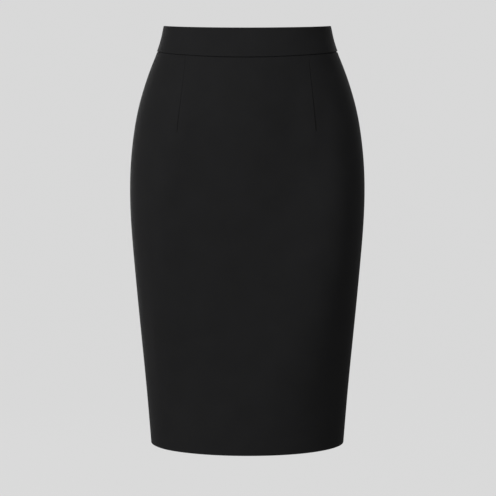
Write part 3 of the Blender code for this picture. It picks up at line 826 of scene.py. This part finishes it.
def zip_coils():
    """Two rows of coils, each turn between two turns of the other row."""
    slant = (CHAIN_DEPTH + CHAIN_WALL) * math.sin(back_slope())
    top = SLIDER_DROP + SLIDER_LENGTH / 2 + slant + 0.0008
    turns = (ZIP_END_DROP - 0.0015 - top) / COIL_PITCH
    turn = np.linspace(0, turns * 2 * math.pi, int(turns * 10))
    paths = []
    for side in (LEFT, RIGHT):
        phase = 0 if side == LEFT else math.pi
        across = side * (COIL_REACH * 0.82 + COIL_REACH * np.cos(turn + phase))
        depth = CHAIN_DEPTH + CHAIN_WALL / 2 + COIL_HALF_DEPTH * np.sin(turn + phase)
        paths.append(cloth_points(BACK, across, top + turn / (2 * math.pi) * COIL_PITCH, depth))
    reach = np.linspace(-1, 1, 7)
    depth = CHAIN_DEPTH + CHAIN_WALL - 0.0003 - 0.0009 * np.abs(reach) ** 4
    for drop in ZIP_END_DROP - 0.0012 + 0.00045 * np.arange(5):  # the bottom stop
        paths.append(cloth_points(BACK, 0.0019 * reach, drop, depth))
    points, faces = tube(paths, COIL_WIRE, 6)
    return mesh_object("zip_coils", points, faces, COIL_FINISH)


UPRIGHT = Matrix.Rotation(math.pi / 2, 4, "X")


def plate(loops, thickness, bevel, border=0.0):
    """A bmesh of a flat plate in the XZ plane with round edges, from its outline and
    any holes.  border cuts its flat faces once more, so that wear stays on the edge."""
    curve = bpy.data.curves.new("plate", "CURVE")
    curve.dimensions = "2D"
    curve.fill_mode = "BOTH"
    curve.extrude = thickness / 2 - bevel
    curve.bevel_depth = bevel
    curve.bevel_resolution = 3
    curve.offset = -bevel
    for loop in loops:
        spline = curve.splines.new("POLY")
        spline.points.add(len(loop) - 1)
        for point, (x, z) in zip(spline.points, loop):
            point.co = (x, z, 0.0, 1.0)
        spline.use_cyclic_u = True
    obj = add_object("plate", curve)
    bpy.context.view_layer.update()
    graph = bpy.context.evaluated_depsgraph_get()
    data = bpy.data.meshes.new_from_object(obj.evaluated_get(graph))
    mesh = bmesh.new()
    mesh.from_mesh(data)
    bmesh.ops.remove_doubles(mesh, verts=mesh.verts, dist=0.000004)
    if border:
        mesh.normal_update()
        flats = [face for face in mesh.faces if abs(face.normal.z) > 0.999]
        bmesh.ops.inset_region(mesh, faces=flats, thickness=border, use_even_offset=True)
    bmesh.ops.transform(mesh, matrix=UPRIGHT, verts=mesh.verts)
    bpy.data.objects.remove(obj)
    bpy.data.curves.remove(curve)
    bpy.data.meshes.remove(data)
    return mesh


def superellipse(half_width, half_height, power, count, centre=0.0):
    """A closed loop with round corners."""
    turn = 2 * math.pi * np.arange(count) / count
    x, z = (np.sign(way) * np.abs(way) ** (2 / power) for way in (np.cos(turn), np.sin(turn)))
    return list(zip(half_width * x, centre + half_height * z))


def ring(radius, hole, width, turns=48, corners=20):
    """A bmesh of a ring about the X axis with round edges."""
    middle, depth = (radius + hole) / 2, (radius - hole) / 2
    section = superellipse(width / 2, depth, 5, corners)
    mesh = bmesh.new()
    rows = []
    for turn in (2 * math.pi * i / turns for i in range(turns)):
        y, z = math.cos(turn), math.sin(turn)
        rows.append([mesh.verts.new((x, (middle + r) * y, (middle + r) * z)) for x, r in section])
    for row, other in zip(rows, rows[1:] + rows[:1]):
        for j, k in zip(range(corners), [*range(1, corners), 0]):
            mesh.faces.new((row[j], row[k], other[k], other[j]))
    return mesh


def joined(name, meshes, place):
    """One metal object of several bmeshes, each given with its own shift."""
    whole = bmesh.new()
    for mesh, shift in meshes:
        bmesh.ops.translate(mesh, vec=shift, verts=mesh.verts)
        data = bpy.data.meshes.new("piece")
        mesh.to_mesh(data)
        whole.from_mesh(data)
        bpy.data.meshes.remove(data)
        mesh.free()
    bmesh.ops.transform(whole, matrix=place, verts=whole.verts)
    bmesh.ops.recalc_face_normals(whole, faces=whole.faces)
    data = bpy.data.meshes.new(name)
    whole.to_mesh(data)
    whole.free()
    return finished(name, data, 40, METAL_FINISH)


def zip_slider(place):
    """Two wings with a post between them, rims that guide the coils, and an eye."""
    face = -RING_OUT - CHAIN_DEPTH + 0.00015
    far_face = face - SLIDER_WALL
    half, tall = SLIDER_WIDTH / 2, SLIDER_LENGTH / 2
    shield = superellipse(half, tall, 6, 64)
    shield = [(x * (1 - 0.16 * max(0.0, -z / tall) ** 2), z) for x, z in shield]
    rim = superellipse(0.00035, tall * 0.62, 8, 40, -tall * 0.1)
    post = superellipse(0.0008, 0.0016, 3, 32, tall - 0.0022)
    neck_run = -face - RING_HOLE - (RING_RADIUS - RING_HOLE) / 2 + WING
    neck = superellipse(NECK_WIDTH / 2, neck_run / 2, 8, 32)
    neck_mesh = plate([neck], NECK_HEIGHT, 0.0003)
    bmesh.ops.transform(neck_mesh, matrix=UPRIGHT, verts=neck_mesh.verts)
    parts = [
        (plate([shield], WING, 0.00022, WORN_BORDER), (0, face - WING / 2, 0)),
        (plate([shield], WING, 0.00022, WORN_BORDER), (0, far_face + WING / 2, 0)),
        (plate([post], SLIDER_WALL - 2 * WING + 0.0004, 0.0001), (0, face - SLIDER_WALL / 2, 0)),
        (plate([rim], 0.0012, 0.0002), (half - 0.0006, far_face + WING + 0.0002, 0)),
        (plate([rim], 0.0012, 0.0002), (0.0006 - half, far_face + WING + 0.0002, 0)),
        (neck_mesh, (0, face - WING + neck_run / 2, 0)),
        (ring(RING_RADIUS, RING_HOLE, NECK_WIDTH * 0.98), (0, 0, 0)),
    ]
    return joined("zip_slider_metal", parts, place)


def pull_loop(inset):
    """The pull's outline: a narrow eye end that widens to a round tip."""
    radius = PULL_WIDTH / 2
    swell_end = PULL_LENGTH - radius
    corner = 0.0006
    side, top = PULL_NECK_WIDTH / 2 - inset - corner, corner + inset - PULL_BAR / 2
    half = []
    for turn in np.linspace(math.pi / 2, 0, 7):
        half.append((side + corner * math.cos(turn), top - corner * math.sin(turn)))
    for down in np.linspace(PULL_EYE_DEPTH * 0.6, swell_end, 24):
        swell = (PULL_WIDTH - PULL_NECK_WIDTH) * smooth_step(PULL_EYE_DEPTH, swell_end, down)
        half.append(((PULL_NECK_WIDTH + swell) / 2 - inset, down))
    radius -= inset
    for turn in np.linspace(0, math.pi / 2, 14)[1:]:
        half.append((radius * math.cos(turn), swell_end + radius * math.sin(turn)))
    loop = [(float(x), -float(down)) for x, down in half]
    return loop + [(-x, z) for x, z in reversed(loop[:-1])]


def zip_pull(place):
    """A flat drop with a raised bead round it, whose bar turns in the slider's eye."""
    eye_half = (PULL_EYE_DEPTH - PULL_BAR / 2) / 2
    eye = superellipse(PULL_EYE_WIDTH / 2, eye_half, 6, 40, -PULL_BAR / 2 - eye_half)
    drop = plate([pull_loop(0.0), eye], PULL_WALL - 0.00016, 0.00028, WORN_BORDER)
    bead = [p for p in pull_loop(0.00085) if p[1] < -PULL_EYE_DEPTH - 0.0012]
    parts = [(drop, (0, 0, 0))]
    for y in (-1, 1):
        path = [(x, y * (PULL_WALL / 2 - 0.00010), z) for x, z in bead]
        path.append(path[0])
        points, faces = tube([path], 0.00018, 8)
        mesh = bmesh.new()
        verts = [mesh.verts.new(p) for p in points]
        for face in faces:
            mesh.faces.new([verts[i] for i in face])
        parts.append((mesh, (0, 0, 0)))
    lean = (RING_OUT - 0.0003 - PULL_WALL / 2 - PULL_GAP) / PULL_LENGTH
    turned = place @ Matrix.Rotation(-math.asin(lean), 4, "X")
    return joined("zip_pull_metal", parts, turned)


# ---- Sewing ----


def run_along(points):
    """The distance from the start of a line to each of its points."""
    return np.concatenate([[0], np.cumsum(np.linalg.norm(np.diff(points, axis=0), axis=1))])


def straight_stitches(face, across, drop, depth, dip):
    """A row of stitches along a line given as arrays, lying at this depth.  Their ends
    go deeper by dip."""
    run = run_along(cloth_points(face, across, drop, depth))
    count = max(1, int(run[-1] / STITCH))
    starts = np.arange(count) * run[-1] / count
    at = starts[:, None] + np.array([0.06, 0.14, 0.5, 0.86, 0.94]) * run[-1] / count
    depth = depth + dip * np.array([1, 0, 0, 0, 1])
    return list(cloth_points(face, np.interp(at, run, across), np.interp(at, run, drop), depth))


def overlock(face, edge, inner):
    """Threads that zigzag over a cut edge inside, with a straight row along each side
    of them.  edge and inner are pairs of arrays, across and drop."""
    run = run_along(cloth_points(face, *edge, LOOPER_DEPTH))
    at = np.linspace(0, run[-1], int(run[-1] / EDGE_PITCH))
    edge, inner = ([np.interp(at, run, values) for values in line] for line in (edge, inner))
    odd = np.arange(len(at)) % 2
    zigzag = [np.where(odd, far, near) for near, far in zip(edge, inner)]
    depth = np.where(odd, NEEDLE_DEPTH, LOOPER_DEPTH)
    rows = [cloth_points(face, *line, NEEDLE_DEPTH) for line in (inner, edge)]
    return [cloth_points(face, *zigzag, depth), *rows]


def upright_overlock(face, edge, inward, drops):
    """An overlocked edge that runs down the cloth, this far from the centre line."""
    edge = edge + 0 * drops
    return overlock(face, (edge, drops), (edge + inward * EDGE_WIDTH, drops))


def side_overlock(face, side):
    """The overlocked edge of a side seam's allowance."""
    drops = np.linspace(SEAM_DROP + 0.008, TURN_UP_DROP, 130)
    edge = side * (half_round(face, drops) - ALLOWANCE + STEP_RUN)
    return upright_overlock(face, edge, side, drops)


def reach_at(face, drop):
    """The distance round the cloth to the side seam at one drop."""
    return float(half_round(face, np.array([drop]))[0])


def hem_threads(face, side, start=None):
    """The hem's overlocked upper edge inside, and the catches that hold it, from
    start or the other side's seam to this side's."""
    end = side * (reach_at(face, TURN_UP_DROP) - ALLOWANCE)
    start = -end if start is None else start
    across = np.linspace(start, end, 90)
    drop = np.full_like(across, TURN_UP_DROP + STEP_RUN)
    paths = overlock(face, (across, drop), (across, drop + EDGE_WIDTH))
    across = np.linspace(start, end, 2 * int(abs(end - start) / CATCH_PITCH))
    odd = np.arange(len(across)) % 2
    drop = TURN_UP_DROP + np.where(odd, -0.0022, 0.0030)
    depth = np.where(odd, CLOTH + THREAD / 2, CLOTH + LAYER + THREAD)
    return paths + [cloth_points(face, across, drop, depth)]


def closers(drops, depth):
    """Threads that draw the side seams together, seen only as lines that close them."""
    return [
        cloth_points(FRONT, side * half_round(FRONT, drops), drops, depth)
        for side in (LEFT, RIGHT)
    ]


def sewn(name, paths):
    return mesh_object(name + "_threads", *tube(paths, THREAD, 4), THREAD_FINISH)


def front_threads():
    paths = side_overlock(FRONT, LEFT) + side_overlock(FRONT, RIGHT) + hem_threads(FRONT, LEFT)
    closed = np.linspace(SEAM_DROP + WAIST_HALF_GAP, HEM_DROP - SEAM_STITCH_END, 160)
    paths += closers(closed, SEAM_STITCH_DEPTH)
    return sewn("front", paths)


def back_threads(node, side):
    """A back panel's threads.  The left one has those of the centre seam, of the vent's
    facing and of the tack across the vent's top."""
    start = side * (UNDERLAY_WIDTH if side == LEFT else UNDERLAY_RUN)
    paths = side_overlock(BACK, side) + hem_threads(BACK, side, start)
    drops = np.linspace(ZIP_END_DROP + TAPE_TAIL + 0.004, VENT_DROP - VENT_RUN, 60)
    paths += upright_overlock(BACK, side * (ALLOWANCE - STEP_RUN), -side, drops)
    if side == LEFT:
        closed = np.linspace(ZIP_END_DROP - 0.002, VENT_DROP, 90)
        paths.append(cloth_points(BACK, 0 * closed, closed, SEAM_STITCH_DEPTH))
        drops = np.linspace(VENT_DROP + 0.002, TURN_UP_DROP, 60)
        paths += upright_overlock(BACK, UNDERLAY_WIDTH - STEP_RUN, -side, drops)
        tack_across = np.linspace(0.0016, UNDERLAY_WIDTH, 20)
        tack_drop = np.linspace(VENT_DROP + 0.001, VENT_DROP + UNDERLAY_SLANT, 20)
        paths += straight_stitches(BACK, tack_across, tack_drop, -THREAD * 0.3, STITCH_DIP)
    return sewn(node, paths)


def band_threads():
    """The row that holds down the band's inner layer, and the band's side seams."""
    paths = []
    for face in (FRONT, BACK):
        edge = reach_at(face, SEAM_DROP) - 0.001
        for start, end in ((-edge, -0.0015), (0.0015, edge)):
            across = np.linspace(start, end, 120)
            drop = seam_drop(face, across) + LAP - 0.0014
            depth = BAND_THICKNESS - BAND_RISE[face] + THREAD * 0.4
            paths += straight_stitches(face, across, drop, depth, -STITCH_DIP)
    ends = np.linspace(BAND_FOLD, SEAM_DROP + LAP - WAIST_HALF_GAP - 0.0004, 16)
    paths += closers(ends, LAP_DEPTH + THREAD)
    return sewn("waistband", paths)


def zip_threads():
    """Two rows of stitches through each tape."""
    paths = []
    top = SEAM_DROP + DIPS[BACK].seam + LAP + 0.002
    drop = np.linspace(top, ZIP_END_DROP + TAPE_TAIL - 0.003, 60)
    depth = TAPE_DEPTH + TAPE_THICKNESS + THREAD * 0.4
    for side in (LEFT, RIGHT):
        for row in TAPE_ROWS:
            across = np.full_like(drop, side * row)
            paths += straight_stitches(BACK, across, drop, depth, -STITCH_DIP)
    return sewn("zip", paths)


# ---- Stage, lights and camera ----

FLOOR_Z = -1.10
FLOOR_RADIUS, BEND_RADIUS, WALL_TOP = 4.2, 2.4, FLOOR_Z + 6.0
BACKDROP_GREY = 0.688


def backdrop():
    """A pale floor that curves up all round into a wall, lit evenly."""
    profile = [(0.0, FLOOR_Z), (FLOOR_RADIUS, FLOOR_Z)]
    for i in range(1, 25):
        out, up = math.sin(math.pi / 2 * i / 24), 1 - math.cos(math.pi / 2 * i / 24)
        profile.append((FLOOR_RADIUS + BEND_RADIUS * out, FLOOR_Z + BEND_RADIUS * up))
    profile.append((FLOOR_RADIUS + BEND_RADIUS, WALL_TOP))
    mesh = bmesh.new()
    verts = [mesh.verts.new((r, 0, z)) for r, z in profile]
    edges = [mesh.edges.new(pair) for pair in zip(verts[:-1], verts[1:])]
    turn = {"axis": (0, 0, 1), "angle": 2 * math.pi, "steps": 96}
    bmesh.ops.spin(mesh, geom=verts + edges, use_merge=True, **turn)
    bmesh.ops.remove_doubles(mesh, verts=mesh.verts, dist=0.0005)
    data = bpy.data.meshes.new("backdrop")
    mesh.to_mesh(data)
    mesh.free()
    data.shade_smooth()
    paper = Nodes("backdrop_paper")
    paper.set(
        Base_Color=(0.006, 0.006, 0.006, 1),
        Roughness=1.0,
        Specular_IOR_Level=0.0,
        Emission_Color=(1, 1, 1, 1),
        Emission_Strength=BACKDROP_GREY,
    )
    data.materials.append(paper.material)
    add_object("backdrop", data)


LOOK_AT = Vector((0, 0, -0.28))

# Where each lamp is seen from the skirt: degrees to the photographer's right and up.
LAMP_DISTANCE = 3.0
Lamp = namedtuple("Lamp", "name aside up size power")
LAMPS = [
    Lamp("key_low", -36, 10, 1.5, 93.0),
    Lamp("key_high", -27, 40, 1.6, 79.0),
    Lamp("front_high", 5, 40, 1.4, 36.0),
    Lamp("front_low", 12, 10, 1.4, 29.0),
    Lamp("left_rim", -100, 10, 1.2, 35.0),
    Lamp("back_high", 160, 35, 1.6, 84.0),
    Lamp("back_low", -150, 8, 1.5, 53.0),
]


def lights():
    for lamp in LAMPS:
        data = bpy.data.lights.new(lamp.name, "AREA")
        data.shape = "SQUARE"
        data.size = lamp.size
        data.energy = lamp.power
        obj = add_object(lamp.name, data)
        aside, up = math.radians(lamp.aside), math.radians(lamp.up)
        level = Vector((math.sin(aside), -math.cos(aside), 0)) * math.cos(up)
        way = level + Vector((0, 0, math.sin(up)))
        obj.location = LOOK_AT + LAMP_DISTANCE * way
        obj.rotation_mode = "QUATERNION"
        obj.rotation_quaternion = (-way).to_track_quat("-Z", "Y")
        obj.visible_camera = False


CAMERA_DISTANCE = 3.3
CAMERA_ASIDE = 0.0010
CAMERA_PITCH = math.radians(5.6857)
CAMERA_LENS = 161.91


def camera():
    """Level with the band's top, in front of the skirt."""
    data = bpy.data.cameras.new("camera")
    data.lens = CAMERA_LENS
    obj = add_object("camera", data)
    obj.location = (CAMERA_ASIDE, -CAMERA_DISTANCE, ORIGIN_DROP)
    obj.rotation_euler = (math.pi / 2 - CAMERA_PITCH, 0, 0)
    bpy.context.scene.camera = obj


# ---- Build ----

camera()
lights()
backdrop()
bpy.context.scene.view_settings.view_transform = "Standard"

BAND_COLUMNS = front_columns(BAND_SIDE_ROLL)
pieces = {
    "front": front_panel(),
    "back_left": back_left_panel(),
    "back_right": back_right_panel(),
    "waistband_front": band_piece("waistband_front", FRONT, *BAND_COLUMNS),
    "waistband_back_left": band_piece("waistband_back_left", BACK, back_columns(), LEFT),
    "waistband_back_right": band_piece("waistband_back_right", BACK, back_columns(), RIGHT),
    "zip_tape_left": zip_tape("zip_tape_left", LEFT),
    "zip_tape_right": zip_tape("zip_tape_right", RIGHT),
}
threads = {
    "front": front_threads(),
    "back_left": back_threads("back_left", LEFT),
    "back_right": back_threads("back_right", RIGHT),
    "waistband_front": band_threads(),
    "zip_tape_left": zip_threads(),
}


def stated(piece, node, body):
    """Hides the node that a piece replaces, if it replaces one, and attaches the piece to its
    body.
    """
    if node:
        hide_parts(node)
    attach(piece, body)


# What each piece was cut to, laid flat: width, length and area.
CUTS = {
    "front": (0.474, 0.586, 0.258),
    "back_left": (0.242, 0.588, 0.131),
    "back_right": (0.277, 0.588, 0.137),
    "waistband_front": (0.370, 0.040, 0.0143),
    "waistband_back_left": (0.188, 0.040, 0.0070),
    "waistband_back_right": (0.188, 0.040, 0.0070),
    "zip_tape_left": (0.0120, 0.196, 0.00235),
    "zip_tape_right": (0.0120, 0.196, 0.00235),
}
for node, (width, length, area) in CUTS.items():
    stated(pieces[node], node, "skirt")
for node, piece in threads.items():
    stated(piece, None, "skirt")

HEAD = slider_frame()
stated(zip_coils(), "zip_chain", "skirt")
stated(zip_slider(HEAD), "zip_slider", "skirt")
stated(zip_pull(HEAD), "zip_pull", "pull")
